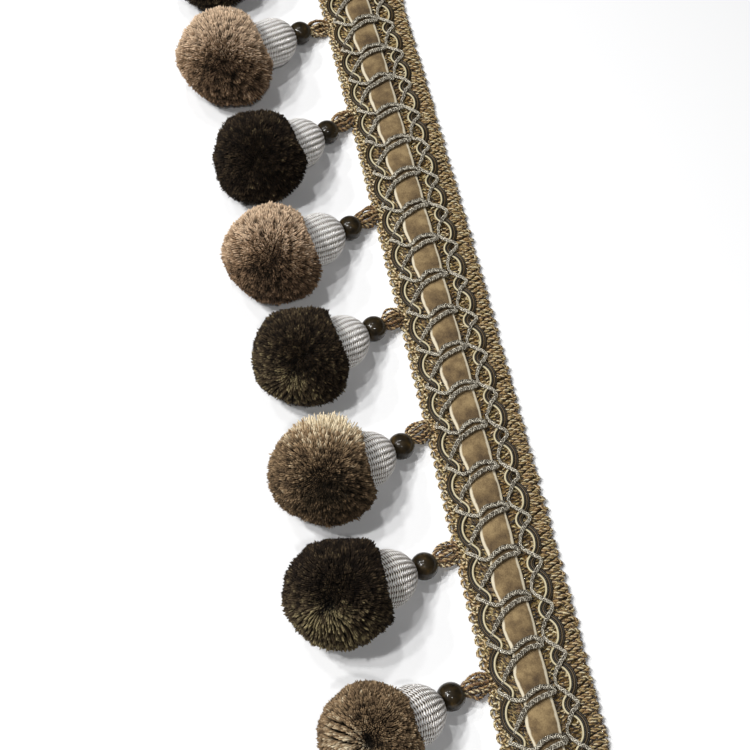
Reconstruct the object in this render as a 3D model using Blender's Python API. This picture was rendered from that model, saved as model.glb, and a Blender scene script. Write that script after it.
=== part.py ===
"""Pompom fringe trim: a gimp heading with eight hanging pompoms, laid out flat.

Units are metres and +Z is up.  X runs along the heading, the pompoms lie towards -Y,
and the origin is the middle of the heading's flat back.
"""
import math

import bmesh
import bpy
from mathutils import Matrix, Vector

# Heading: one straight length with a slight bow
HEADING_LENGTH = 0.400
HEADING_WIDTH = 0.033
BOW_RISE = 0.0019
GROUND_THICKNESS = 0.0015
GAP = 0.0003

# Picots along the pompom edge, and the looped border along the other edge
PICOT_PITCH = 0.004
PICOT_DEPTH = 0.0008
BORDER_WIDTH = 0.0036
BORDER_HEIGHT = 0.0026
BORDER_LUMP = 0.0005

# Velvet ribbon, drawn in a little at each crossing of the silver lacing
RIBBON_WIDTH = 0.0098
RIBBON_CENTRE = -0.0025
RIBBON_SWELL = 0.0012
RIBBON_PINCH = 0.0010
RIBBON_DRAW_IN = 0.0003

# Every braided motif repeats at this pitch along the heading
REPEAT = 0.016
FIRST_CROSSING = -0.196
SCROLL_WIDTH = 0.0012
SCROLL_HEIGHT = 0.0012
LACING_WIDTH = 0.0013
LACING_HEIGHT = 0.0011

# Where a cord passes in one repeat: along the heading from the crossing, and across it
SCROLL_LEFT_ROUTE = (
    # along, across
    (-0.0008, -0.0117),
    (0.0022, -0.0133),
    (0.0064, -0.0133),
    (0.0094, -0.0117),
    (0.0122, -0.0098),
)
SCROLL_RIGHT_ROUTE = (
    # along, across
    (-0.0100, 0.0072),
    (-0.0068, 0.0094),
    (-0.0028, 0.0095),
    (0.0008, 0.0078),
    (0.0034, 0.0057),
)
LACING_ROUTE = (
    # along, across
    (-0.0034, -0.0131),
    (0.0009, -0.0083),
    (-0.0028, 0.0026),
    (-0.0014, 0.0036),
    (0.0002, 0.0028),
    (0.0034, -0.0074),
    (0.0090, -0.0119),
)
ZIGZAG_ROUTE = (
    # along, across
    (-0.0014, 0.0053),
    (0.0031, 0.0100),
    (0.0108, 0.0053),
)

# Tassels, one to every three repeats
TASSEL_PITCH = 3 * REPEAT
LOOP_HEIGHT = 0.0052
BEAD_RADIUS = 0.0045
BEAD_FLAT = math.radians(30)
BEAD_LIFT = 0.0056
CAP_TIP_RADIUS = 0.0036
CAP_RIM_RADIUS = 0.0093
CAP_SEAT = 2 * GAP
FLAT_DEPTH = 0.0009

TASSELS = (
    # shift along, loop reach, loop swing, cap length, head swing, pompom radius, colour
    (0.0016, 0.0128, 27, 0.0150, 28, 0.0172, "dark"),
    (0.0015, 0.0129, 26, 0.0180, 30, 0.0182, "light"),
    (0.0016, 0.0146, 44, 0.0141, 31, 0.0172, "dark"),
    (0.0019, 0.0134, 38, 0.0158, 25, 0.0174, "light"),
    (0.0006, 0.0124, 32, 0.0134, 26, 0.0166, "dark"),
    (-0.0012, 0.0133, 39, 0.0126, 22, 0.0174, "light"),
    (-0.0020, 0.0128, 26, 0.0124, 17, 0.0174, "dark"),
    (-0.0041, 0.0126, 18, 0.0115, 22, 0.0169, "light"),
)

# Loop sections from the heading's edge to the bead: place on the way, half width, half height
LOOP_SECTIONS = (
    # way, half_width, half_height
    (0.00, 0.0027, 0.25),
    (0.40, 0.0042, 0.95),
    (0.75, 0.0038, 1.00),
    (1.00, 0.0023, 0.55),
)

LOOP_SIDES = 8
BEAD_SIDES = 10
CAP_SIDES = 10
POMPOM_SIDES = 12

# Colours as linear RGB, with roughness and metallic
FINISHES = {
    "gold_gimp_yarn": ((0.27, 0.19, 0.085), 0.75, 0.0),
    "border_yarn": ((0.33, 0.24, 0.12), 0.75, 0.0),
    "taupe_velvet": ((0.26, 0.17, 0.09), 0.90, 0.0),
    "dark_gimp_cord": ((0.07, 0.055, 0.03), 0.60, 0.0),
    "cream_gimp_cord": ((0.62, 0.56, 0.38), 0.60, 0.0),
    "silver_thread": ((0.50, 0.47, 0.43), 0.35, 0.8),
    "loop_yarn": ((0.20, 0.12, 0.06), 0.75, 0.0),
    "bronze_bead": ((0.045, 0.032, 0.022), 0.20, 0.0),
    "silver_winding": ((0.48, 0.44, 0.40), 0.40, 0.6),
    "light_pompom_yarn": ((0.20, 0.13, 0.08), 0.85, 0.0),
    "dark_pompom_yarn": ((0.030, 0.020, 0.014), 0.85, 0.0),
}


def clear_scene():
    """Remove the objects that a new file opens with."""
    for item in list(bpy.data.objects):
        bpy.data.objects.remove(item, do_unlink=True)


def finish(name):
    """The named finish as a material, made on first use."""
    found = bpy.data.materials.get(name)
    if found:
        return found
    colour, roughness, metallic = FINISHES[name]
    made = bpy.data.materials.new(name)
    made.use_nodes = True
    surface = made.node_tree.nodes["Principled BSDF"]
    surface.inputs["Base Color"].default_value = (*colour, 1.0)
    surface.inputs["Roughness"].default_value = roughness
    surface.inputs["Metallic"].default_value = metallic
    made.diffuse_color = (*colour, 1.0)
    return made


def add_object(name, bm, finish_name, parent=None, smooth_angle=None):
    """Link a bmesh as one named object with one material."""
    bmesh.ops.recalc_face_normals(bm, faces=bm.faces)
    mesh = bpy.data.meshes.new(name)
    bm.to_mesh(mesh)
    bm.free()
    mesh.materials.append(finish(finish_name))
    if smooth_angle:
        mesh.shade_smooth()
        mesh.set_sharp_from_angle(angle=smooth_angle)
    item = bpy.data.objects.new(name, mesh)
    item.parent = parent
    bpy.context.scene.collection.objects.link(item)
    return item


def add_empty(name, location=(0, 0, 0), turn=0.0, parent=None):
    """An empty that carries other pieces, turned about Z."""
    item = bpy.data.objects.new(name, None)
    item.location = location
    item.rotation_euler.z = turn
    item.parent = parent
    bpy.context.scene.collection.objects.link(item)
    return item


def bow(along):
    """How far the heading's middle line lies across, at this place along it."""
    return -BOW_RISE * (along / (HEADING_LENGTH / 2)) ** 2


def loft(rings):
    """One closed body through rings of points, with a flat cap at each end."""
    bm = bmesh.new()
    loops = [[bm.verts.new(point) for point in ring] for ring in rings]
    count = len(loops[0])
    for near, far in zip(loops, loops[1:]):
        for i in range(count):
            j = (i + 1) % count
            bm.faces.new((near[i], near[j], far[j], far[i]))
    bm.faces.new(loops[0])
    bm.faces.new(loops[-1])
    return bm


def lathe(profile, sides):
    """Turn a profile of (radius, height) points about Z; a zero radius closes to a pole."""
    bm = bmesh.new()
    rings = []
    for radius, height in profile:
        if radius == 0:
            rings.append([bm.verts.new((0, 0, height))])
            continue
        angles = [math.tau * i / sides for i in range(sides)]
        rings.append([bm.verts.new((radius * math.cos(a), radius * math.sin(a), height)) for a in angles])
    for low, high in zip(rings, rings[1:]):
        for i in range(sides):
            j = (i + 1) % sides
            corners = [low[i % len(low)], low[j % len(low)], high[j % len(high)], high[i % len(high)]]
            bm.faces.new(list(dict.fromkeys(corners)))
    for end in (rings[0], rings[-1]):
        if len(end) > 1:
            bm.faces.new(end)
    return bm


def strip(stations, section):
    """A sheet or bar along the heading; section(x) gives its (across, height) corners."""
    return loft([[(x, bow(x) + y, z) for y, z in section(x)] for x in stations])


def steps(start, stop, count):
    """Evenly spaced places from start to stop, both ends included."""
    return [start + (stop - start) * i / count for i in range(count + 1)]


def heading_stations(pitch):
    """Two places in each pitch along the heading, from end to end."""
    half = HEADING_LENGTH / 2
    return steps(-half, half, round(2 * HEADING_LENGTH / pitch))


def build_ground(parent):
    """The woven gimp ground: flat below, with picots along the pompom edge."""
    outer = -HEADING_WIDTH / 2
    inner = HEADING_WIDTH / 2 - BORDER_WIDTH - GAP

    def section(x):
        picot = PICOT_DEPTH * (0.5 + 0.5 * math.cos(math.tau * x / PICOT_PITCH))
        edge = outer + PICOT_DEPTH - picot
        return (edge, 0), (inner, 0), (inner, GROUND_THICKNESS), (edge, GROUND_THICKNESS)

    add_object("heading_ground", strip(heading_stations(PICOT_PITCH), section), "gold_gimp_yarn", parent)


def build_border(parent):
    """The looped border: a thicker edge that swells at each loop."""
    inner = HEADING_WIDTH / 2 - BORDER_WIDTH
    crest = inner + 0.45 * BORDER_WIDTH

    def section(x):
        lump = BORDER_LUMP * math.cos(math.tau * x / PICOT_PITCH)
        outer = HEADING_WIDTH / 2 - BORDER_LUMP + lump
        top = BORDER_HEIGHT - BORDER_LUMP + lump
        return (inner, 0), (outer, 0), (crest, top), (inner, GROUND_THICKNESS)

    add_object("looped_border", strip(heading_stations(PICOT_PITCH), section), "border_yarn", parent)


def build_ribbon(parent):
    """The velvet ribbon, thickest and widest halfway between two crossings."""
    base = GROUND_THICKNESS + GAP

    def section(x):
        swell = 0.5 - 0.5 * math.cos(math.tau * (x - FIRST_CROSSING) / REPEAT)
        half = RIBBON_WIDTH / 2 - RIBBON_DRAW_IN * (1 - swell)
        top = base + RIBBON_PINCH + (RIBBON_SWELL - RIBBON_PINCH) * swell
        left, right = RIBBON_CENTRE - half, RIBBON_CENTRE + half
        return (left, base), (right, base), (right, top), (left, top)

    half_repeats = round(2 * HEADING_LENGTH / REPEAT)
    ends = HEADING_LENGTH / 2
    add_object("velvet_ribbon", strip(steps(-ends, ends, half_repeats), section), "taupe_velvet", parent)


def cord_route(route, height):
    """Repeat a cord's route along the heading, from one cut end to the other."""
    repeats = math.ceil(HEADING_LENGTH / REPEAT)
    points = []
    for n in range(-1, repeats + 1):
        for along, across in route:
            x = FIRST_CROSSING + n * REPEAT + along
            if abs(x) < HEADING_LENGTH / 2 - LACING_WIDTH:
                points.append(Vector((x, bow(x) + across, height)))
    return points


def sideways(points):
    """The unit direction to the left of the route at each of its points, in plan."""
    found = []
    for i in range(len(points)):
        ahead = points[min(i + 1, len(points) - 1)] - points[i]
        behind = points[i] - points[max(i - 1, 0)]
        way = ahead.normalized() + behind.normalized()
        found.append(Vector((-way.y, way.x, 0)).normalized())
    return found


def cord(points, offset, width, height):
    """A flat-backed cord of three sides along a route, moved sideways by the offset."""
    rings = []
    for point, side in zip(points, sideways(points)):
        middle = point + side * offset
        half = side * width / 2
        rings.append((middle - half, middle + half, middle + Vector((0, 0, height))))
    return loft(rings)


def build_scrolls(parent):
    """The dark and the cream cord of each scroll pair, side by side, the dark one outermost."""
    height = GROUND_THICKNESS + GAP
    apart = (SCROLL_WIDTH + GAP) / 2
    for side, route, outward in (("left", SCROLL_LEFT_ROUTE, -1), ("right", SCROLL_RIGHT_ROUTE, 1)):
        points = cord_route(route, height)
        for tone, offset in (("dark", outward * apart), ("cream", -outward * apart)):
            body = cord(points, offset, SCROLL_WIDTH, SCROLL_HEIGHT)
            add_object(f"scroll_{tone}_{side}", body, f"{tone}_gimp_cord", parent)


def build_silver(parent):
    """The lacing over the ribbon and the zigzag beside it, both on top of the scrolls."""
    height = GROUND_THICKNESS + SCROLL_HEIGHT + 2 * GAP
    for name, route in (("silver_lacing", LACING_ROUTE), ("silver_zigzag", ZIGZAG_ROUTE)):
        points = cord_route(route, height)
        add_object(name, cord(points, 0, LACING_WIDTH, LACING_HEIGHT), "silver_thread", parent)


def bead_profile():
    """A ball with a small flat at each end of its bore."""
    angles = steps(BEAD_FLAT, math.pi - BEAD_FLAT, 4)
    return [(BEAD_RADIUS * math.sin(a), -BEAD_RADIUS * math.cos(a)) for a in angles]


def cap_profile(ball_radius, length):
    """A blunt dome with a hollow under it that fits the pompom; heights are from the ball's centre."""
    seat = ball_radius + CAP_SEAT
    hollow = [(r, math.sqrt(seat ** 2 - r ** 2)) for r in (0, 0.6 * CAP_RIM_RADIUS, CAP_RIM_RADIUS)]
    rim = hollow[-1][1]
    dome = []
    for part in (0.3, 0.6, 0.8, 0.93, 1):
        swell = (1 - part ** 3) ** 0.45
        dome.append((CAP_TIP_RADIUS + (CAP_RIM_RADIUS - CAP_TIP_RADIUS) * swell, rim + part * length))
    return hollow + dome, rim + length


def pompom_profile(radius):
    """A ball about the origin, cut flat where it rests."""
    lowest = math.acos((radius - FLAT_DEPTH) / radius)
    rings = steps(lowest, math.pi, 6)
    return [(radius * math.sin(a), -radius * math.cos(a)) for a in rings[:-1]] + [(0, radius)]


def build_loop(name, start, end, parent):
    """The bunched yarn from the heading's edge to the bead."""
    way = end - start
    across = Vector((-way.y, way.x, 0)).normalized()
    rings = []
    for part, half_width, fullness in LOOP_SECTIONS:
        middle = start + way * part
        spread = Vector((1, 0, 0)).lerp(across, part).normalized() * half_width
        rise = Vector((0, 0, LOOP_HEIGHT / 2 * fullness))
        angles = [math.tau * i / LOOP_SIDES for i in range(LOOP_SIDES)]
        rings.append([middle + spread * math.cos(a) + rise * math.sin(a) for a in angles])
    add_object(name, loft(rings), "loop_yarn", parent, math.radians(50))


def build_tassel(index, row, parent):
    """One loop, bead, cap and pompom, swung to its own angle on the surface."""
    shift, loop_reach, loop_swing, cap_length, head_swing, radius, tone = row
    first = -TASSEL_PITCH * (len(TASSELS) - 1) / 2
    root_x = first + index * TASSEL_PITCH + shift
    root = Vector((root_x, bow(root_x) - HEADING_WIDTH / 2, GROUND_THICKNESS))

    profile, tip = cap_profile(radius, cap_length)
    bead_out = tip + GAP + BEAD_RADIUS * math.cos(BEAD_FLAT)
    centre_z = radius - FLAT_DEPTH
    tilt = math.asin((centre_z - BEAD_LIFT) / bead_out)

    loop_turn, head_turn = math.radians(loop_swing), math.radians(head_swing)
    loop_way = Vector((math.sin(loop_turn), -math.cos(loop_turn), 0))
    head_way = Vector((math.sin(head_turn), -math.cos(head_turn), 0))
    bead = root + loop_way * loop_reach
    bead.z = BEAD_LIFT
    centre = bead + head_way * bead_out * math.cos(tilt)
    centre.z = centre_z

    carrier = add_empty(f"tassel_{index}", centre, head_turn, parent)
    add_object(f"pompom_{index}", lathe(pompom_profile(radius), POMPOM_SIDES), f"{tone}_pompom_yarn",
               carrier, math.radians(60))
    lean = Matrix.Rotation(-math.pi / 2 - tilt, 4, "X")
    cap = add_object(f"cap_{index}", lathe(profile, CAP_SIDES), "silver_winding", carrier, math.radians(50))
    cap.rotation_euler = lean.to_euler()
    ball = add_object(f"bead_{index}", lathe(bead_profile(), BEAD_SIDES), "bronze_bead", carrier,
                      math.radians(50))
    ball.location = lean @ Vector((0, 0, bead_out))
    ball.rotation_euler = lean.to_euler()

    start = root + Vector((0, -GAP, 0))
    end = bead + (root - bead).normalized() * (BEAD_RADIUS + 1.5 * GAP)
    build_loop(f"loop_{index}", start, end, parent)


def build():
    """The whole trim, under one empty."""
    clear_scene()
    trim = add_empty("pompom_fringe_trim")
    heading = add_empty("heading", parent=trim)
    build_ground(heading)
    build_border(heading)
    build_ribbon(heading)
    build_scrolls(heading)
    build_silver(heading)
    for index, row in enumerate(TASSELS):
        build_tassel(index, row, trim)


build()
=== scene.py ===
# %% [markdown]
# # Pompom fringe trim
# A furnishing trim laid out flat: a braided gimp heading 33 mm wide with a velvet
# ribbon laced down its middle, and eight pompoms that hang from one edge, each under
# a wound cap, a bead and a bunch of yarn.
#
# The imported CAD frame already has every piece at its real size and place. This lesson
# dresses it: yarns, cords, pile and winding are built around the frame, and the plain
# solids are hidden. It works in millimetres, which are turned to metres in one place.

import math

import bpy
import numpy as np
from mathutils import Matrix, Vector


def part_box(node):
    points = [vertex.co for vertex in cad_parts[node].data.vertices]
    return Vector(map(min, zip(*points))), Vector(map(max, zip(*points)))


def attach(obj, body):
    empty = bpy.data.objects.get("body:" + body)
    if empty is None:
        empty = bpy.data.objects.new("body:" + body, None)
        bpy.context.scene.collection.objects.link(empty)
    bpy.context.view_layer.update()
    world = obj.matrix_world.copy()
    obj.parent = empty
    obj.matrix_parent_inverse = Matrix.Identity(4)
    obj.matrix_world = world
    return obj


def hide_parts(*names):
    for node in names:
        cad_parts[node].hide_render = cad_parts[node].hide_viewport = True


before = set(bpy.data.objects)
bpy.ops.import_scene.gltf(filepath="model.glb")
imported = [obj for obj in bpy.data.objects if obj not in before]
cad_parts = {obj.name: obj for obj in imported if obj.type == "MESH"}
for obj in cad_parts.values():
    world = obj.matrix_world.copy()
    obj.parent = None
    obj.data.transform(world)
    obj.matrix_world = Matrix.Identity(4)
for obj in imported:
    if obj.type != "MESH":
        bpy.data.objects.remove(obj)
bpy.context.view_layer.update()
MM = 0.001
UP = np.array((0.0, 0.0, 1.0))


def box_mm(node):
    """The lowest and highest corner of a CAD node, in millimetres."""
    low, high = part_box(node)
    return np.array(low) / MM, np.array(high) / MM


# %% [markdown]
# ## The heading's measure
# Every braided motif on the heading repeats at the same 16 mm pitch, with one crossing
# of the silver lacing in each repeat and one tassel to every third. The length comes
# from the frame. The heading lies in a slight bow, so each piece on it is built
# straight and moved across by the same amount.

# %% Driving sizes of the heading
HALF_LENGTH = box_mm("heading_ground")[1][0]
REPEAT = 16.0
FIRST_CROSSING = 4.0 - HALF_LENGTH
BOW_RISE = 1.9
CUT_MARGIN = 0.7


def bow(along):
    """How far the heading's middle line lies across, at each place along it."""
    return -BOW_RISE * (along / HALF_LENGTH) ** 2


def bowed(points):
    """The same points, moved across to follow the heading's bow."""
    moved = np.array(points, float)
    moved[..., 1] += bow(moved[..., 0])
    return moved


print("repeats along the heading", round(2 * HALF_LENGTH / REPEAT, 1))

# %% [markdown]
# ## Meshes from many strands
# A trim like this is nothing but yarn, thousands of short lengths of it. Curves with a
# round bevel could make them, but one curve object for each is slow and heavy. Here a
# whole family of strands is laid out as number arrays, turned to one mesh, and each
# point carries facts about its strand, such as its dye tone and how far along it lies,
# for the material to read.

# %% Shapes, joined and made into pieces
def shape(points, faces, **facts):
    """A mesh in the making: points in mm, lists of faces, and facts, one number a point."""
    return {"points": points, "faces": faces, "facts": facts}


def join(shapes):
    """Several shapes as one."""
    points, faces, start = [], [], 0
    for part in shapes:
        points.append(part["points"])
        faces += [face + start for face in part["faces"]]
        start += len(part["points"])
    names = shapes[0]["facts"]
    facts = {name: np.concatenate([part["facts"][name] for part in shapes]) for name in names}
    return shape(np.concatenate(points), faces, **facts)


def put(name, data):
    """A new object for a mesh, lamp or camera, linked to the scene."""
    item = bpy.data.objects.new(name, data)
    bpy.context.scene.collection.objects.link(item)
    return item


triangles_built = {}


def add_piece(name, made, finish, node):
    """Turn a shape to an object that rides on the frame and stands for one of its CAD nodes."""
    points, faces = made["points"], made["faces"]
    corners = np.concatenate([face.ravel() for face in faces]).astype(np.int32)
    sizes = np.concatenate([np.full(len(face), face.shape[1]) for face in faces])
    starts = np.concatenate([[0], np.cumsum(sizes)[:-1]]).astype(np.int32)
    mesh = bpy.data.meshes.new(name)
    mesh.vertices.add(len(points))
    mesh.vertices.foreach_set("co", (points * MM).astype(np.float32).ravel())
    mesh.loops.add(len(corners))
    mesh.loops.foreach_set("vertex_index", corners)
    mesh.polygons.add(len(sizes))
    mesh.polygons.foreach_set("loop_start", starts)
    for fact, values in made["facts"].items():
        layer = mesh.attributes.new(fact, "FLOAT", "POINT")
        layer.data.foreach_set("value", np.asarray(values, np.float32).ravel())
    mesh.update(calc_edges=True)
    mesh.validate()
    mesh.shade_smooth()
    mesh.materials.append(finish)
    piece = put(name, mesh)
    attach(piece, "root")
    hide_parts(node)
    triangles_built[name] = int((sizes - 2).sum())
    print(f"{name}: {triangles_built[name]} triangles")
    return piece


# %% Strands along paths
CORNER_UP = -math.pi / 2


def unit(vectors):
    """The same vectors, each one long."""
    return vectors / np.maximum(np.linalg.norm(vectors, axis=-1, keepdims=True), 1e-9)


def swing(angle, first, second):
    """The directions turned by an angle from a first one towards a second."""
    return np.cos(angle) * first + np.sin(angle) * second


def cross_axes(paths):
    """The sideways and the downward direction at each place of level paths."""
    tangent = unit(np.gradient(paths, axis=1))
    side = unit(np.cross(tangent, UP))
    return side, np.cross(tangent, side)


def run_length(paths):
    """How far along its path each place lies."""
    steps = np.linalg.norm(np.diff(paths, axis=1), axis=2)
    return np.concatenate([np.zeros((len(paths), 1)), np.cumsum(steps, axis=1)], axis=1)


def tube_faces(count, places, sides):
    """The faces of closed tubes whose points are numbered tube by tube and ring by ring."""
    index = np.arange(count * places * sides).reshape(count, places, sides)
    ahead = np.roll(index, -1, axis=2)
    around = np.stack([index[:, :-1], ahead[:, :-1], ahead[:, 1:], index[:, 1:]], axis=-1)
    far_end = [index[:, -1][:, [0, i, i + 1]] for i in range(1, sides - 1)]
    near_end = [index[:, 0][:, [0, i + 1, i]] for i in range(1, sides - 1)]
    return [around.reshape(-1, 4), *far_end, *near_end]


def strands(paths, radius, sides, tone, turn=CORNER_UP):
    """Closed strands along paths of (strands, places, 3); the tone may vary along each too."""
    count, places, _ = paths.shape
    tone = np.asarray(tone, float).reshape(len(tone), -1)[:, :, None]
    side, down = cross_axes(paths)
    angle = (turn + math.tau * np.arange(sides) / sides)[None, None, :, None]
    ring = swing(angle, side[:, :, None], down[:, :, None])
    thick = np.broadcast_to(np.asarray(radius, float), (count, places))[:, :, None, None]
    facts = {"tone": tone, "along": run_length(paths)[:, :, None], "around": np.arange(sides) / sides}
    return shape(
        (paths[:, :, None] + thick * ring).reshape(-1, 3),
        tube_faces(count, places, sides),
        **{name: np.broadcast_to(fact, (count, places, sides)).ravel() for name, fact in facts.items()},
    )


def smooth_path(points, spacing):
    """A smooth line through given points, resampled evenly; further columns follow."""
    knots = np.asarray(points, float)
    knots = np.vstack([2 * knots[0] - knots[1], knots, 2 * knots[-1] - knots[-2]])
    t = np.linspace(0, 1, 10, endpoint=False)[:, None]
    spans = [
        0.5 * (2 * b + (c - a) * t + (2 * a - 5 * b + 4 * c - d) * t**2 + (3 * b - a - 3 * c + d) * t**3)
        for a, b, c, d in zip(knots, knots[1:], knots[2:], knots[3:])
    ]
    line = np.vstack([*spans, knots[-2:-1]])
    far = run_length(line[None, :, :3])[0]
    at = np.linspace(0, far[-1], max(3, round(far[-1] / spacing) + 1))
    return np.column_stack([np.interp(at, far, line[:, k]) for k in range(line.shape[1])])


# %% Twisted yarn and flat plait
def twisted(paths, plies, spread, pitch, phase=0.0):
    """The paths of the plies that wind round each given path, ply after ply."""
    side, down = cross_axes(paths)
    turn = math.tau * run_length(paths) / pitch + np.asarray(phase, float).reshape(-1, 1)
    wound = []
    for k in range(plies):
        angle = (turn + math.tau * k / plies)[..., None]
        wound.append(paths + spread * swing(angle, side, down))
    return np.concatenate(wound)


def plaited(path, width, height, pitch):
    """The paths of three strands plaited flat along one path; width and height may vary along it."""
    side, down = cross_axes(path[None])
    turn = math.tau * run_length(path[None])[0] / pitch
    woven = []
    for k in range(3):
        angle = (turn + math.tau * k / 3)[:, None]
        woven.append(path + width * np.sin(angle) * side[0] - height * np.sin(2 * angle) * down[0])
    return np.stack(woven)


# %% [markdown]
# ## Materials
# Colours are written as the sRGB hex values that a dyer's card would show, and one
# function turns them to the linear values that Blender works in. One small function
# adds a node with its settings and its links, so that each finish reads as a list. The
# surface shader is fed in the same way. What is the same all over a surface is a plain
# value on the shader itself.

# %% Colour and node helpers
def linear(hex_colour):
    """An sRGB hex colour as linear RGBA."""
    parts = [int(hex_colour[i : i + 2], 16) / 255 for i in (1, 3, 5)]
    return (*[p / 12.92 if p <= 0.04045 else ((p + 0.055) / 1.055) ** 2.4 for p in parts], 1.0)


def feed(node, inputs):
    """Set a node's inputs, or link those whose value is the output of another node."""
    for name, value in inputs.items():
        if isinstance(value, bpy.types.NodeSocket):
            node.id_data.links.new(value, node.inputs[name])
        else:
            node.inputs[name].default_value = value


def add_node(tree, kind, inputs, output=0, **settings):
    """Add a node, its kind given without "ShaderNode", set and link it, and return one output."""
    node = tree.nodes.new("ShaderNode" + kind)
    for name, value in settings.items():
        setattr(node, name, value)
    feed(node, inputs)
    return node.outputs[output]


def blend_stops(colour, stops):
    """Set the ramp that gives this colour, from pairs of place and hex colour."""
    ramp = colour.node.color_ramp
    while len(ramp.elements) < len(stops):
        ramp.elements.new(1.0)
    for element, (place, shade) in zip(ramp.elements, stops):
        element.position = place
        element.color = linear(shade)
    return colour


def new_finish(name, *facts):
    """An empty material, its node tree, its surface shader and the strand facts that it reads."""
    finish = bpy.data.materials.new(name)
    finish.use_nodes = True
    tree = finish.node_tree
    read = [add_node(tree, "Attribute", {}, "Fac", attribute_name=fact) for fact in facts]
    return finish, tree, tree.nodes["Principled BSDF"], read


def per_mm(size):
    """The noise scale, in metres, that gives features of this size in mm."""
    return 1.0 / (size * MM)


# %% [markdown]
# ### Yarn finishes
# The heading's gimp yarn, the border and the loops are spun viscose and wool: matt in
# the hollows with a soft lustre on each ply. The dye tone of a strand picks its colour
# from a short card of golds, creams, rust and brown. Fibres show as slanting lines
# round each ply, too fine to model, so they are a bump worked out from the length of
# yarn and the way round it.

# %% Spun yarn
FIBRE_SPACING = 0.35  # as coarse as it has to be to show
SPECKLE_SIZE = 0.9
RUST_SIZE = 2.2
RUST_SHIFT = "#efdccb"


def spun_yarn(name, card, speckle=0.3):
    """Dyed spun yarn; its colours are a card of (tone, hex) pairs."""
    finish, tree, surface, (tone, along, around) = new_finish(name, "tone", "along", "around")
    place = add_node(tree, "TexCoord", {}, "Object")
    patchy = add_node(tree, "TexNoise", {"Vector": place, "Scale": per_mm(SPECKLE_SIZE), "Detail": 3.0})
    limits = {"From Min": 0.3, "From Max": 0.7, "To Min": -speckle, "To Max": speckle}
    uneven = add_node(tree, "MapRange", {"Value": patchy, **limits})
    dyed = add_node(tree, "Math", {0: tone, 1: uneven}, operation="ADD")
    colour = blend_stops(add_node(tree, "ValToRGB", {"Fac": dyed}), card)
    warmth = add_node(tree, "TexNoise", {"Vector": place, "Scale": per_mm(RUST_SIZE), "Detail": 1.0})
    ruddy = add_node(tree, "MapRange", {"Value": warmth, "From Min": 0.4, "From Max": 0.65})
    tint = {"data_type": "RGBA", "blend_type": "MULTIPLY"}
    mixed = add_node(tree, "Mix", {"Factor": ruddy, "A": colour, "B": linear(RUST_SHIFT)}, "Result", **tint)
    turns = add_node(tree, "Math", {0: along, 1: math.tau / FIBRE_SPACING}, operation="MULTIPLY")
    lead = add_node(tree, "Math", {0: around, 1: math.tau, 2: turns}, operation="MULTIPLY_ADD")
    fibre = add_node(tree, "Math", {0: lead}, operation="SINE")
    feed(surface, {
        "Base Color": mixed,
        "Normal": add_node(tree, "Bump", {"Height": fibre, "Strength": 0.35, "Distance": 0.08 * MM}),
        "Roughness": 0.55,
        "Sheen Weight": 0.15,
        "Sheen Roughness": 0.4,
    })
    return finish


GROUND_CARD = ((0.0, "#221a0f"), (0.25, "#5a4727"), (0.5, "#8c7642"), (0.75, "#b3a16c"), (1.0, "#e0d4b2"))
BORDER_CARD = ((0.0, "#352716"), (0.4, "#82693c"), (0.7, "#a8935f"), (1.0, "#d6caa6"))
LOOP_CARD = ((0.0, "#2e2015"), (0.35, "#785a38"), (0.7, "#b59b69"), (1.0, "#e0d2aa"))
ground_yarn = spun_yarn("spun viscose gimp yarn", GROUND_CARD, speckle=0.35)
border_yarn = spun_yarn("twisted border yarn", BORDER_CARD)
loop_yarn = spun_yarn("twisted loop yarn", LOOP_CARD, speckle=0.25)

# %% [markdown]
# ### Cord finishes
# The scroll cords are satin gimp: a core wound closely with viscose, so they shine in
# a band along their length and show rings round it. On the dark cord that band is also
# a painted highlight, its middle end paler. The dark cord is olive brown and the other
# one cream. The silver thread is a metallised film wound round a core, plaited three by
# three. Its facets glint at random, which a fine cell pattern in its colour, roughness
# and bump gives.

# %% Satin gimp cord
WINDING_PITCH = 0.5  # as coarse as it has to be to show
WEAR_SIZE = 3.0


def satin_cord(name, deep, pale):
    """Viscose wound round a core, with fine rings along it."""
    finish, tree, surface, (tone, along) = new_finish(name, "tone", "along")
    place = add_node(tree, "TexCoord", {}, "Object")
    worn = add_node(tree, "TexNoise", {"Vector": place, "Scale": per_mm(WEAR_SIZE), "Detail": 4.0})
    dyed = add_node(tree, "Math", {0: worn, 1: 0.4, 2: tone}, operation="MULTIPLY_ADD")
    turns = add_node(tree, "Math", {0: along, 1: math.tau / WINDING_PITCH}, operation="MULTIPLY")
    rings = add_node(tree, "Math", {0: turns}, operation="SINE")
    feed(surface, {
        "Base Color": blend_stops(add_node(tree, "ValToRGB", {"Fac": dyed}), ((0.2, deep), (1.0, pale))),
        "Normal": add_node(tree, "Bump", {"Height": rings, "Strength": 0.3, "Distance": 0.06 * MM}),
        "Roughness": 0.42,
        "Specular IOR Level": 0.35,
    })
    return finish


dark_cord = satin_cord("olive brown satin gimp", "#130e08", "#57482f")
cream_cord = satin_cord("cream satin gimp", "#a2946f", "#d9cfae")

# %% Metallised thread
GLINT_SIZE = 0.65  # as coarse as it has to be to show


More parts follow.
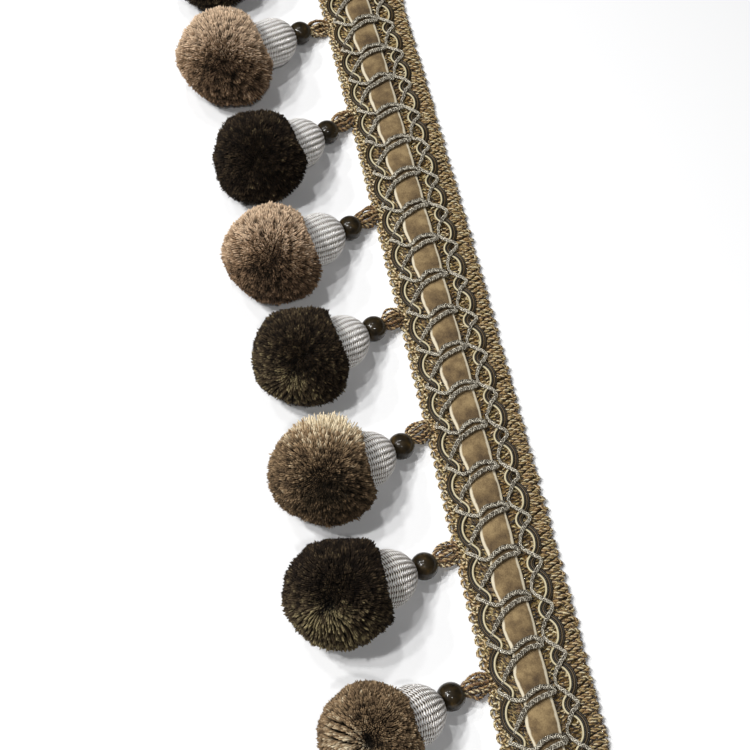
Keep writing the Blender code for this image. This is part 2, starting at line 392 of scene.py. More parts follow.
def metallised_thread(name, deep, pale):
    """Metallised film thread, whose facets glint at random."""
    finish, tree, surface, (tone,) = new_finish(name, "tone")
    place = add_node(tree, "TexCoord", {}, "Object")
    facets = add_node(tree, "TexVoronoi", {"Vector": place, "Scale": per_mm(GLINT_SIZE)}, "Color")
    glint = add_node(tree, "SeparateColor", {"Color": facets}, "Red")
    mixed = add_node(tree, "Math", {0: glint, 1: 0.45, 2: tone}, operation="MULTIPLY_ADD")
    feed(surface, {
        "Base Color": blend_stops(add_node(tree, "ValToRGB", {"Fac": mixed}), ((0.1, deep), (1.0, pale))),
        "Roughness": add_node(tree, "MapRange", {"Value": glint, "To Min": 0.22, "To Max": 0.55}),
        "Normal": add_node(tree, "Bump", {"Height": glint, "Strength": 0.5, "Distance": 0.1 * MM}),
        "Metallic": 0.35,
    })
    return finish


silver_thread = metallised_thread("silver metallised thread", "#575044", "#d3ccba")

# %% [markdown]
# ### Velvet
# The ribbon is taupe cotton velvet with a bare woven selvedge down each side, whose pale
# band also carries a painted highlight where the pile rounds over the edge. Pile is
# darkest where it is looked at end on and pale where it is brushed over or seen from
# the side, so it needs sheen, a little cloudiness a few millimetres across, and a very
# fine grain. Each puff of the ribbon carries painted shade, paler on one slope than on
# the other.

# %% Velvet ribbon
CLOUD_SIZE = 5.0
GRAIN_SIZE = 0.45  # as coarse as it has to be to show
VELVET_CARD = ((0.45, "#4a3a26"), (0.68, "#6f5b3d"), (0.9, "#917b56"))
SELVEDGE_AND_HIGHLIGHT_COLOUR = "#cfc4ab"
SELVEDGE_AND_HIGHLIGHT_STOPS = (
    # share of the way across, where white is bare selvedge and painted highlight on the rounded pile edge
    (0.0, "#ffffff"),
    (0.12, "#ffffff"),
    (0.16, "#000000"),
    (0.95, "#000000"),
    (0.99, "#ffffff"),
)


def cut_velvet(name):
    """Taupe velvet with pale selvedges and painted shade on its puffs; it reads how far across the ribbon
    it is.
    """
    finish, tree, surface, (across, nap) = new_finish(name, "across", "nap")
    place = add_node(tree, "TexCoord", {}, "Object")
    cloudy = {"Vector": place, "Scale": per_mm(CLOUD_SIZE), "Detail": 4.0, "Roughness": 0.6}
    clouds = add_node(tree, "TexNoise", cloudy)
    grain = add_node(tree, "TexNoise", {"Vector": place, "Scale": per_mm(GRAIN_SIZE)})
    pile = add_node(tree, "Math", {0: grain, 1: 0.35, 2: clouds}, operation="MULTIPLY_ADD")
    # painted shade: each puff is paler on one slope than on the other
    puff_shaded = add_node(tree, "Math", {0: nap, 1: 0.09, 2: pile}, operation="MULTIPLY_ADD")
    velvet = blend_stops(add_node(tree, "ValToRGB", {"Fac": puff_shaded}), VELVET_CARD)
    frayed = add_node(tree, "Math", {0: clouds, 1: 0.12, 2: across}, operation="MULTIPLY_ADD")
    band = blend_stops(add_node(tree, "ValToRGB", {"Fac": frayed}), SELVEDGE_AND_HIGHLIGHT_STOPS)
    # the pale edge band is the bare selvedge and a painted highlight of the rounded pile
    sides = {"Factor": band, "A": velvet, "B": linear(SELVEDGE_AND_HIGHLIGHT_COLOUR)}
    feed(surface, {
        "Base Color": add_node(tree, "Mix", sides, "Result", data_type="RGBA"),
        "Normal": add_node(tree, "Bump", {"Height": grain, "Strength": 0.6, "Distance": 0.15 * MM}),
        "Roughness": 0.95,
        "Sheen Weight": 0.6,
        "Sheen Roughness": 0.35,
        "Sheen Tint": linear("#d8c6a8"),
    })
    return finish


taupe_velvet = cut_velvet("taupe cotton velvet")

# %% [markdown]
# ### Bead, cap and pile
# The bead is turned wood under a dark bronze lacquer: almost black, with a clear coat
# that returns small sharp highlights. The cap is wound from silver-grey viscose over a
# wooden mould, so its ribs run from bead to rim and each carries slanting ticks; the
# grooves between ribs carry painted shade, and the far caps are painted paler as light.
# The pompom is cut wool: matt, each strand of one tone, with painted shade where it
# stands low in the pile. The light wool comes from two dye lots, one a little yellower.

# %% Lacquered bead
RUBBED_SIZE = 2.5
LACQUER_CARD = ((0.3, "#110d06"), (0.6, "#2a200f"), (0.8, "#4e3c1e"))


def lacquered_wood(name):
    """Dark bronze lacquer on turned wood."""
    finish, tree, surface, _ = new_finish(name)
    place = add_node(tree, "TexCoord", {}, "Object")
    rubbed = add_node(tree, "TexNoise", {"Vector": place, "Scale": per_mm(RUBBED_SIZE), "Detail": 5.0})
    feed(surface, {
        "Base Color": blend_stops(add_node(tree, "ValToRGB", {"Fac": rubbed}), LACQUER_CARD),
        "Normal": add_node(tree, "Bump", {"Height": rubbed, "Strength": 0.25, "Distance": 0.1 * MM}),
        "Roughness": 0.5,
        "Specular IOR Level": 0.12,
        "Coat Weight": 0.6,
        "Coat IOR": 1.4,
        "Coat Roughness": 0.07,
    })
    return finish


bronze_lacquer = lacquered_wood("bronze lacquer on turned wood")

# %% Wound cap
TICK_PITCH = 0.8  # as coarse as it has to be to show
CHEVRON = 0.5
STRAY_SIZE = 1.4
WINDING_CARD = ((0.0, "#33291f"), (0.3, "#a99a8c"), (0.52, "#fff6ea"), (1.0, "#ffffff"))


def wound_viscose(name):
    """Silver-grey viscose winding, whose ribs carry chevrons of ticks, with painted shade in the grooves
    between ribs.
    """
    finish, tree, surface, (along, rib, tone) = new_finish(name, "along", "rib", "tone")
    place = add_node(tree, "TexCoord", {}, "Object")
    stray = add_node(tree, "TexNoise", {"Vector": place, "Scale": per_mm(STRAY_SIZE), "Detail": 4.0})
    slanted = add_node(tree, "Math", {0: rib, 1: CHEVRON, 2: along}, operation="MULTIPLY_ADD")
    shifted = add_node(tree, "Math", {0: stray, 1: 0.7, 2: slanted}, operation="MULTIPLY_ADD")
    turns = add_node(tree, "Math", {0: shifted, 1: math.tau / TICK_PITCH}, operation="MULTIPLY")
    ticks = add_node(tree, "Math", {0: turns}, operation="SINE")
    # painted shade: the winding is darker in the grooves between ribs
    groove_shade = add_node(tree, "Math", {0: rib, 1: 0.82, 2: -0.26}, operation="MULTIPLY_ADD")
    patchy = add_node(tree, "Math", {0: stray, 1: 0.5, 2: groove_shade}, operation="MULTIPLY_ADD")
    height = add_node(tree, "Math", {0: ticks, 1: 0.48, 2: patchy}, operation="MULTIPLY_ADD")
    paler = add_node(tree, "Math", {0: height, 1: tone}, operation="ADD")
    feed(surface, {
        "Base Color": blend_stops(add_node(tree, "ValToRGB", {"Fac": paler}), WINDING_CARD),
        "Normal": add_node(tree, "Bump", {"Height": ticks, "Strength": 1.0, "Distance": 0.23 * MM}),
        "Metallic": 0.1,
        "Roughness": 0.28,
        "Specular IOR Level": 1.0,
    })
    return finish


silver_winding = wound_viscose("silver grey viscose winding")

# %% Cut wool pile
WELL_REACH = 0.84
FULL_REACH = 1.03
LIGHT_CARD = ((0.0, "#3a2f23"), (0.35, "#775f49"), (0.65, "#ab8c6d"), (1.0, "#e8cbab"))
DRAB_CARD = ((0.0, "#3a3022"), (0.35, "#776149"), (0.65, "#ab906e"), (1.0, "#e8d8b8"))
DARK_CARD = ((0.0, "#17100b"), (0.35, "#2f251b"), (0.65, "#574936"), (1.0, "#a3946d"))
LIGHT_WELL_SHADE = "#19140e"
DARK_WELL_SHADE = "#070503"


def cut_wool(name, card, well_shade):
    """Cut wool: each strand keeps one tone, with painted shade where it stands low in the pile."""
    finish, tree, surface, (tone, reach) = new_finish(name, "tone", "reach")
    dyed = blend_stops(add_node(tree, "ValToRGB", {"Fac": tone}), card)
    # painted shade: the well colour shows where the strand stands low in the pile
    depth = add_node(tree, "MapRange", {"Value": reach, "From Min": WELL_REACH, "From Max": FULL_REACH})
    ends = {"Factor": depth, "A": linear(well_shade), "B": dyed}
    feed(surface, {
        "Base Color": add_node(tree, "Mix", ends, "Result", data_type="RGBA"),
        "Roughness": 0.85,
        "Specular IOR Level": 0.15,
    })
    return finish


light_wool = cut_wool("light taupe cut wool", LIGHT_CARD, LIGHT_WELL_SHADE)
drab_wool = cut_wool("drab taupe cut wool", DRAB_CARD, LIGHT_WELL_SHADE)
dark_wool = cut_wool("dark brown cut wool", DARK_CARD, DARK_WELL_SHADE)

# %% [markdown]
# ## The woven ground
# The heading's ground is a narrow cloth of twisted yarns that run across it on a slant.
# A flat sheet underneath carries everything and is what the trim is glued or sewn down
# by. On it, at each side of the ribbon, lie rows of yarn, close together, each of one
# dull and one bright ply whose tone wanders, with painted shade where they meet the
# ribbon. They could be a bump on the sheet, but the plies stand half a millimetre high
# and catch the light, so they are real strands.

# %% Ground sheet
SHEET_THICKNESS = 0.8
SHEET_EDGES = (-15.6, 15.4)
SHEET_INSET = 0.3
SHEET_STEP = 2.0
SHEET_TONE = 0.3


def closed_strip(section, inset, step):
    """A closed body along the heading; section(x) gives a ring of (across, height)."""
    end = HALF_LENGTH - inset
    stations = np.linspace(-end, end, round(2 * HALF_LENGTH / step))
    rings = np.array([[(x, y, z) for y, z in section(x)] for x in stations])
    return bowed(rings), tube_faces(1, *rings.shape[:2])


def sheet_section(x):
    """A plain flat band, the same all the way along."""
    left, right = SHEET_EDGES
    return ((left, 0), (left, SHEET_THICKNESS), (right, SHEET_THICKNESS), (right, 0))


points, faces = closed_strip(sheet_section, SHEET_INSET, SHEET_STEP)
points = points.reshape(-1, 3)
plain = np.full(len(points), SHEET_TONE)
made = shape(points, faces, tone=plain, along=points[:, 0], around=points[:, 1])
ground_sheet = add_piece("ground_sheet", made, ground_yarn, "heading_ground")

# %% Rows of ground yarn
ROW_PITCH = REPEAT / 12
ROW_STEP = 0.55
ROW_END = 0.6
STRAIGHT_END = 6.0
ROW_TWIST = 2.1
PLY_RADIUS = 0.33
PLY_SPREAD = 0.8 * PLY_RADIUS
GROUND_Z = 1.15
DULL_TONES = (0.0, 0.15, 0.35)
BRIGHT_TONES = (0.4, 0.62, 0.88)
TONE_WANDER = 0.14
RIBBON_SHADE_WIDTH = 2.4
WAVES = ((0.38, 0.9), (0.2, 2.3), (0.3, 1.5))  # slow, quick and upward: size, radians to the mm
rng = np.random.default_rng(7)


def ground_rows(inner, outer, slant, ribbon_shade):
    """Slanting rows of two-ply yarn between two lines along the heading, with painted shade of the ribbon
    at the inner one.
    """
    starts = np.arange(-HALF_LENGTH + CUT_MARGIN, HALF_LENGTH - CUT_MARGIN, ROW_PITCH)
    across = np.linspace(inner, outer, round(abs(outer - inner) / ROW_STEP) + 1)
    middle = (inner + outer) / 2
    lean = np.clip((HALF_LENGTH - np.abs(starts)) / STRAIGHT_END, 0, 1) * slant
    waver, ripple = rng.uniform(0, math.tau, (2, len(starts), 1))
    phases = zip(WAVES, (waver, ripple, ripple))
    slow, quick, upward = [size * np.sin(across * rate + phase) for (size, rate), phase in phases]
    x = starts[:, None] + lean[:, None] * (across - middle) + slow + quick
    x = np.clip(x, -HALF_LENGTH + ROW_END, HALF_LENGTH - ROW_END)
    rows = bowed(np.stack([x, np.broadcast_to(across, x.shape), GROUND_Z + upward], axis=-1))
    plies = twisted(rows, 2, PLY_SPREAD, ROW_TWIST, rng.uniform(0, math.tau, len(rows)))
    dyes = [rng.choice(tones, len(rows)) for tones in (DULL_TONES, BRIGHT_TONES)]
    tone = np.concatenate(dyes)[:, None] + rng.normal(0, TONE_WANDER, (2 * len(rows), len(across)))
    # painted shade: the rows darken towards the inner line, where the ribbon's shadow falls
    tone = tone - ribbon_shade * np.exp(-(((across - inner) / RIBBON_SHADE_WIDTH) ** 2))
    return strands(plies, PLY_RADIUS, 3, np.clip(tone, 0, 1))


ROW_BANDS = (
    # side, inner line, outer line, slant, painted shade of the ribbon at the inner line
    ("left", -6.2, -15.4, 0.5, 0.35),
    ("right", 1.6, 11.0, -0.38, 0.45),
)
for side_name, *band in ROW_BANDS:
    made = ground_rows(*band)
    add_piece(f"ground_rows_{side_name}", made, ground_yarn, "heading_ground")

# %% [markdown]
# ## Picots and looped border
# Along the pompom edge the ground yarn turns back in small round loops, the picots, four
# to a repeat. The other edge has a thicker border: a heavy yarn of four plies that runs
# out and back in slanting hairpins, over a thinner one that fills the gaps. Each is one
# yarn that never breaks, so one short route is repeated at its pitch and joined.

# %% Repeating one route along the heading
LOOP_PITCH = REPEAT / 4
LEVEL_SHARE = 0.6  # how uneven the height is, beside the plan


def repeated(route, pitch, first, spacing, unevenness=0.0):
    """One smooth path through a route of (along, across, height) repeated at a pitch."""
    route = np.asarray(route, float)
    count = math.ceil(2 * HALF_LENGTH / pitch) + 2
    laps = [route + np.pad([first + (n - 1) * pitch], (0, route.shape[1] - 1)) for n in range(count)]
    knots = np.concatenate(laps)
    knots[:, :3] += rng.normal(0, unevenness, (len(knots), 3)) * (1.0, 1.0, LEVEL_SHARE)
    inside = np.abs(knots[:, 0]) < HALF_LENGTH - CUT_MARGIN
    return bowed(smooth_path(knots[inside], spacing))


PICOT_ROUTE = (
    # along, across, height
    (-1.0, -14.4, 1.5),
    (-1.45, -15.5, 1.5),
    (-0.9, -16.5, 1.2),
    (0.2, -16.7, 1.1),
    (1.15, -16.1, 1.3),
    (1.2, -15.0, 1.6),
    (0.5, -14.2, 1.6),
    (2.0, -13.7, 1.3),
)
PICOT_STEP = 0.45
PICOT_START = LOOP_PITCH / 2 - HALF_LENGTH
PICOT_PLY = 0.38
PICOT_TONES = (0.35, 0.92)
picots = repeated(PICOT_ROUTE, LOOP_PITCH, PICOT_START, PICOT_STEP, unevenness=0.13)[None]
made = strands(twisted(picots, 2, spread=0.28, pitch=1.6), PICOT_PLY, 3, PICOT_TONES)
add_piece("picots", made, ground_yarn, "heading_ground")

# %% Looped border
BORDER_ROUTE = (
    # along, across, height
    (1.3, 9.6, 1.0),
    (0.6, 11.6, 1.7),
    (-0.2, 13.8, 2.3),
    (-0.5, 15.2, 1.9),
    (0.1, 16.0, 1.3),
    (0.9, 15.4, 1.8),
    (1.5, 13.9, 2.3),
    (2.3, 11.7, 1.7),
    (3.1, 9.8, 1.0),
    (4.2, 9.0, 0.9),
)
UNDER_ROUTE = (
    # along, across, height
    (3.2, 9.8, 1.0),
    (2.3, 12.0, 1.7),
    (1.5, 14.2, 2.0),
    (1.3, 15.2, 1.6),
    (1.9, 15.4, 1.4),
    (2.6, 14.4, 1.9),
    (3.5, 12.2, 1.7),
    (4.4, 10.2, 1.0),
    (5.6, 9.4, 0.8),
)
BORDER_YARNS = (
    # route, unevenness, spread and pitch of its twist, ply radius, tone of each ply
    (BORDER_ROUTE, 0.24, 0.46, 3.0, 0.31, (0.05, 0.7, 0.3, 0.95)),
    (UNDER_ROUTE, 0.3, 0.34, 2.0, 0.36, (0.05, 0.5)),
)
BORDER_STEP = 0.6
BORDER_START = 1.0 - HALF_LENGTH
yarns = []
for route, unevenness, spread, pitch, radius, tones in BORDER_YARNS:
    yarn = repeated(route, LOOP_PITCH, BORDER_START, BORDER_STEP, unevenness)[None]
    yarns.append(strands(twisted(yarn, len(tones), spread, pitch), radius, 3, tones))
add_piece("looped_edge", join(yarns), border_yarn, "looped_border")

# %% [markdown]
# ## The velvet ribbon
# The ribbon lies on the ground and is held only by the lacing, so it is pressed down and
# drawn in at each crossing and puffs up a little between two. The pile stands on a
# thinner woven band whose bare edges show as the selvedges. It is one closed strip whose
# section changes along the heading.

# %% Ribbon
RIBBON_STEP = 0.8
RIBBON_INSET = 0.2
RIBBON_BASE = box_mm("velvet_ribbon")[0][2]
UNDERCUT = 0.1


def puff(x):
    """From 0 at a crossing of the lacing to 1 halfway between two."""
    return 0.5 - 0.5 * np.cos(math.tau * (x - FIRST_CROSSING) / REPEAT)


RIBBON_SECTION = (
    # share of the half width, height over the base at a crossing, and halfway
    (-1.0, 0.15, 0.25),
    (-0.97, 0.55, 0.75),
    (-0.86, 0.60, 0.85),
    (-0.78, 0.90, 1.25),
    (-0.5, 1.00, 1.50),
    (0.0, 1.00, 1.60),
    (0.5, 1.00, 1.50),
    (0.80, 0.90, 1.25),
    (0.90, 0.60, 0.85),
    (0.97, 0.55, 0.75),
    (1.0, 0.15, 0.25),
)
RIBBON_EDGES = (
    # across at a crossing, and halfway
    (-6.5, -7.6),
    (2.5, 2.8),
)


def ribbon_section(x):
    """The ribbon's ring of (across, height) at one place along it."""
    full = puff(x)
    left, right = [tied + (free - tied) * full for tied, free in RIBBON_EDGES]
    middle, half = (left + right) / 2, (right - left) / 2
    top = [
        (middle + share * half, RIBBON_BASE + low + (high - low) * full)
        for share, low, high in RIBBON_SECTION
    ]
    return [(top[0][0] + UNDERCUT, RIBBON_BASE), *top, (top[-1][0] - UNDERCUT, RIBBON_BASE)]


points, faces = closed_strip(ribbon_section, RIBBON_INSET, RIBBON_STEP)
# the first and the last are the corners of the base, just inside the edges
edge_shares = [0.01, *[0.5 + 0.5 * share for share, _, _ in RIBBON_SECTION], 0.99]
share = np.broadcast_to(edge_shares, points.shape[:2])
# painted shade on the puffs, paler on one slope
slope = np.sin(math.tau * (points[..., 0] - FIRST_CROSSING) / REPEAT)
made = shape(points.reshape(-1, 3), faces, across=share.ravel(), nap=slope.ravel())
ribbon_piece = add_piece("velvet_ribbon_laid", made, taupe_velvet, "velvet_ribbon")

# %% [markdown]
# ## Scroll cords
# Beside the ribbon a pair of cords, one dark and one cream, swings out in a wide arc and
# back in a short one, once in each repeat. The dark cord is three ends side by side, the
# cream one is single. Both follow one route, and each keeps its own distance from it.

# %% Scroll routes
SCROLL_LEFT = (
    # along, across
    (-0.9, -11.0),
    (1.3, -12.5),
    (4.3, -13.2),
    (7.3, -12.7),
    (9.6, -11.2),
    (11.2, -9.9),
    (12.7, -9.4),
    (14.2, -9.9),
)
SCROLL_RIGHT = (
    # along, across
    (-9.4, 6.5),
    (-8.3, 8.2),
    (-6.2, 9.4),
    (-3.8, 9.6),
    (-1.2, 9.0),
    (0.7, 7.6),
    (2.3, 6.1),
    (3.9, 5.5),
    (5.4, 5.7),
)
SCROLL_Z = 2.3
SCROLL_STEP = 0.75


def scroll_path(route):
    """The middle line of one pair of scroll cords."""
    with_height = [(along, across, SCROLL_Z) for along, across in route]
    return repeated(with_height, REPEAT, FIRST_CROSSING, SCROLL_STEP)


def beside(path, offset, lift=0.0):
    """A path moved sideways in plan by an offset, and up by a lift."""
    side, _ = cross_axes(path[None])
    return path + side[0] * offset + np.array((0, 0, lift))


# %% Scroll cords
SCROLLS = (
    # side, route, which way is outward, radius of one end
    ("left", SCROLL_LEFT, 1, 0.3),
    ("right", SCROLL_RIGHT, -1, 0.36),
)
DARK_ENDS = ((0.85, 0.0), (2.45, 0.35), (4.05, 0.0))  # sideways and up, in radii of one end
# the middle end is paler: painted highlight along the top of the cord
DARK_TONES_WITH_HIGHLIGHT = (0.0, 0.55, 0.1)
CREAM_RADIUS = 0.36
CREAM_OFFSET = 0.4
CREAM_LIFT = 0.12
CREAM_TONE = 0.4
for side_name, route, outward, thick in SCROLLS:
    middle = scroll_path(route)
    ends = np.stack([beside(middle, outward * thick * out, thick * lift) for out, lift in DARK_ENDS])
    made = strands(ends, thick, 4, DARK_TONES_WITH_HIGHLIGHT)
    add_piece(f"scroll_dark_cord_{side_name}", made, dark_cord, f"scroll_dark_{side_name}")
    cream = beside(middle, -outward * CREAM_OFFSET, CREAM_LIFT)[None]
    made = strands(cream, CREAM_RADIUS, 6, [CREAM_TONE], turn=0.0)
    add_piece(f"scroll_cream_cord_{side_name}", made, cream_cord, f"scroll_cream_{side_name}")

# %% [markdown]
# ## Silver lacing
# One long plait of silver thread holds the ribbon down. It crosses over, bends tightly
# round the ribbon's far edge and comes back beside itself, then dips under the scroll
# cords and goes on to the next crossing. A second plait zigzags between the ribbon and
# the border. Plaiting three strands is a sine across and one of twice the speed up and
# down, so every strand goes over and under in turn.

# %% Lacing and zigzag
LACING = (
    # along, across, height, fullness, paleness
    (-4.2, -13.3, 1.7, 0.6, 1.0),
    (-2.4, -11.6, 2.9, 0.8, 1.0),
    (-0.4, -9.0, 3.0, 0.8, 1.0),
    (0.2, -6.6, 3.5, 0.8, 0.6),
    (-1.6, -4.0, 4.1, 1.0, 0.1),
    (-2.5, -1.2, 4.2, 1.0, 0.1),
    (-2.5, 1.4, 4.0, 1.0, 0.5),
    (-1.9, 3.1, 3.4, 0.9, 0.7),
    (-1.0, 3.6, 2.8, 0.6, 0.5),
    (-0.4, 2.8, 3.3, 0.9, 0.2),
    (-0.1, 1.2, 3.9, 1.0, 0.1),
    (0.6, -1.4, 4.2, 1.0, 0.0),
    (2.0, -4.4, 4.1, 1.0, 0.0),
    (3.8, -7.0, 3.7, 0.95, 0.0),
    (6.7, -9.5, 3.2, 0.85, 0.0),
    (9.2, -11.2, 2.6, 0.6, 0.0),
    (10.9, -12.6, 1.5, 0.5, 0.5),
)
ZIGZAG = (
    # along, across, height, fullness, paleness
    (-2.0, 4.9, 2.4, 0.6, 0.7),
    (0.4, 6.9, 3.2, 0.85, 1.0),
    (2.7, 9.2, 3.2, 0.7, 0.8),
    (4.4, 9.4, 3.0, 0.7, 0.3),
    (6.6, 7.2, 3.2, 0.85, 0.0),
    (9.0, 5.6, 2.6, 0.7, 0.0),
    (11.6, 4.6, 2.2, 0.5, 0.0),
)
PLAIT_PITCH = 2.5
PLAIT_STEP = 0.31
PLAIT_WIDTH = 0.7
PLAIT_HEIGHT = 0.3
PLAIT_UNEVENNESS = 0.15
THREAD_RADIUS = 0.36
THREAD_TONES = (-0.05, 0.15, 0.4)
PALE_GAIN = 0.2
PLAITS = (("lacing_plait", "silver_lacing", LACING), ("zigzag_plait", "silver_zigzag", ZIGZAG))
for piece_name, node, route in PLAITS:
    routed = repeated(route, REPEAT, FIRST_CROSSING, PLAIT_STEP, PLAIT_UNEVENNESS)
    path, full, pale = routed[:, :3], routed[:, 3:4], routed[:, 4]
    # where the plait shows pale it lies flatter, and where it is drawn in its threads are thinner
    flat = 1 - 0.5 * pale[:, None]
    threads = plaited(path, PLAIT_WIDTH * full, PLAIT_HEIGHT * full * flat, PLAIT_PITCH)
    thick = THREAD_RADIUS * (0.6 + 0.4 * full[:, 0]) * (1 - 0.15 * pale)
    tone = np.array(THREAD_TONES)[:, None] + PALE_GAIN * pale
    add_piece(piece_name, strands(threads, thick, 3, tone), silver_thread, node)

# %% [markdown]
# ## The tassels' places
# Each tassel's place is read from the frame: the pompom and the bead are round, so the
# middle of their boxes is their centre, and the line between the two centres is the
# axis of the cap. The pompom's box also gives its radius, less the little that it is
# pressed flat where it lies. The loop's root is the end of its CAD solid that is nearest
# to the heading.

# %% Read the places
TASSELS = sum(name.startswith("pompom_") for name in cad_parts)
FLAT_DEPTH = 0.9
ROOT_DEPTH = 0.4
tassels = []
for k in range(TASSELS):
    low, high = box_mm(f"pompom_{k}")
    radius = (high[2] + FLAT_DEPTH) / 2
    centre = np.array(((low[0] + high[0]) / 2, (low[1] + high[1]) / 2, radius - FLAT_DEPTH))
    low, high = box_mm(f"bead_{k}")
    bead = (low + high) / 2
    loop_points = np.array([v.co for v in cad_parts[f"loop_{k}"].data.vertices]) / MM
    nearest = loop_points[loop_points[:, 1] > loop_points[:, 1].max() - ROOT_DEPTH]
    axis, root = unit(bead - centre), nearest.mean(0)
    tassels.append({"centre": centre, "radius": radius, "bead": bead, "axis": axis, "root": root})
print("pompom radii in mm", [round(t["radius"], 2) for t in tassels])

# %% [markdown]
# ## Turned pieces
# The bead and the cap are both round about the tassel's axis, so one small lathe makes
# them: a profile of distance along the axis and radius, turned round it. The cap's
# profile carries ribs, which is a ripple on the radius round the axis.

# %% A lathe about any axis
def turned(centre, axis, profile, sides, ripple=None):
    """A closed turned body; profile is (along, radius) from a pole to a pole."""
    side = unit(np.cross(axis, UP))
    up = np.cross(side, axis)
    along, radius = np.array(profile, float).T
    angle = math.tau * np.arange(sides) / sides
    wide = radius[:, None] * np.ones(sides)
    rib = np.full(wide.shape, 0.5)
    if ripple:
        depth, ribs, rng = ripple
        deep = np.repeat(depth * rng.uniform(0.5, 1.5, ribs), sides // ribs)
        rib = np.broadcast_to(np.abs(np.cos(ribs * angle / 2)), wide.shape)
        fade = np.clip(radius / radius.max() * 1.2, 0, 1)[:, None]
        wide = wide - deep * fade * (1 - rib)
    out = swing(angle[:, None], -up, side)
    points = centre + along[:, None, None] * axis + wide[..., None] * out
    index = np.arange(len(along) * sides).reshape(len(along), sides)
    ahead = np.roll(index, -1, axis=1)
    around = np.stack([index[:-1], index[1:], ahead[1:], ahead[:-1]], axis=-1).reshape(-1, 4)
    poles = np.array([centre + along[0] * axis, centre + along[-1] * axis])
    near = np.stack([np.full(sides, index.size), index[0], ahead[0]], axis=-1)
    far = np.stack([np.full(sides, index.size + 1), ahead[-1], index[-1]], axis=-1)
    every = np.vstack([points.reshape(-1, 3), poles])
    facts = {"along": np.broadcast_to(along[:, None], wide.shape), "rib": rib}
    facts = {name: np.append(v.ravel(), [v.flat[0], v.flat[-1]]) for name, v in facts.items()}
    return shape(every, [around, near, far], **facts)


# %% Beads
BEAD_RADIUS = 4.5
BEAD_FLAT = math.radians(30)
BORE_RADIUS = 1.0
BORE_DEPTH = 0.5
BORE_BEVEL = 0.15
BEAD_RINGS = 17
BEAD_SIDES = 40
bead_angles = np.linspace(BEAD_FLAT, math.pi - BEAD_FLAT, BEAD_RINGS)
bead_body = [(-BEAD_RADIUS * math.cos(a), BEAD_RADIUS * math.sin(a)) for a in bead_angles]
bead_end = bead_body[-1][0]
bead_profile = [
    (-bead_end + BORE_DEPTH, BORE_RADIUS),
    (-bead_end, BORE_RADIUS + BORE_BEVEL),
    *bead_body,
    (bead_end, BORE_RADIUS + BORE_BEVEL),
    (bead_end - BORE_DEPTH, BORE_RADIUS),
]
for k, tassel in enumerate(tassels):
    made = turned(tassel["bead"], tassel["axis"], bead_profile, BEAD_SIDES)
    add_piece(f"lacquered_bead_{k}", made, bronze_lacquer, f"bead_{k}")

# %% Caps
CAP_RIBS = 28
SIDES_PER_RIB = 6
RIB_DEPTH = 0.5
CAP_RIM = 9.3
PILE_ROOM = 0.6
TUCK = 4.0
BEAD_ROOM = 0.3
CAP_DOME = (
    # back from the tip, radius
    (9.5, 9.5),
    (7.5, 9.1),
    (5.6, 8.4),
    (3.9, 7.4),
    (2.4, 6.1),
    (1.3, 4.7),
    (0.5, 3.5),
    (0.0, 2.4),
)
CAP_HIDDEN = (
    # out from the rim, radius
    (-TUCK, 8.2),
    (-1.0, 8.9),
    (1.0, CAP_RIM),
)
CAP_TURN_IN = 0.3
CAP_FOOT_RADIUS = 2.0
CAP_BORE_RADIUS = 1.2
CAP_OFFSET = np.array((0.9, -0.15, 0.0))
CAP_STEP = 0.75
CAP_PAINTED_LIGHT = (0.2, 0.2, 0.2, 0.2, 0.2, 0.08, 0.0, 0.05)  # painted light: how much paler each cap's winding is, the far caps most


def cap_profile(rim_height, tip_height):
    """The cap's outline, smoothed, as (along, radius) from rim to tip."""
    hidden = [(rim_height + out, radius, 0) for out, radius in CAP_HIDDEN]
    dome = [(tip_height - back, radius, 0) for back, radius in CAP_DOME]
    line = [(along, radius) for along, radius, _ in smooth_path([*hidden, *dome], CAP_STEP)]
    foot = (rim_height - TUCK - CAP_TURN_IN, CAP_FOOT_RADIUS)
    return [foot, *line, (tip_height - CAP_TURN_IN, CAP_BORE_RADIUS)]


for k, tassel in enumerate(tassels):
    rim = math.sqrt((tassel["radius"] + PILE_ROOM) ** 2 - CAP_RIM**2)
    tip = np.linalg.norm(tassel["bead"] - tassel["centre"]) - BEAD_RADIUS * math.cos(BEAD_FLAT) - BEAD_ROOM
    ripple = (RIB_DEPTH, CAP_RIBS, np.random.default_rng(50 + k))
    middle = tassel["centre"] + CAP_OFFSET
    axis, sides = unit(tassel["bead"] - middle), SIDES_PER_RIB * CAP_RIBS
    made = turned(middle, axis, cap_profile(rim, tip), sides, ripple)
    # painted light: the far caps' winding is paler
    made["facts"]["tone"] = np.full(len(made["points"]), CAP_PAINTED_LIGHT[k])
    add_piece(f"wound_cap_{k}", made, silver_winding, f"cap_{k}")

# %% [markdown]
# ## The bunched loops
# Between the heading and the bead the hanging yarn is a loose bunch: a few twisted yarns
# leave the edge side by side, belly out and are drawn together where they enter the
# bead. Each yarn is a smooth path from its own place on the edge, by its own place on
# the belly, to the bore.

# %% Loops
LOOP_STATIONS = (
    # share of the way to the bead, spread across, spread up
    (0.0, 2.3, 0.3),
    (0.25, 3.4, 1.5),
    (0.5, 3.7, 2.1),
    (0.75, 3.0, 1.9),
    (1.0, 1.0, 0.8),
)
LOOP_PLY = 0.38
LOOP_STEP = 0.5
LOOP_WANDER = 0.25
OUTER_YARNS = 9
INNER_YARNS = 4
INNER_SHARE = 0.45
INTO_EDGE = np.array((0.0, 1.2, 0.0))
INTO_BORE = 0.4


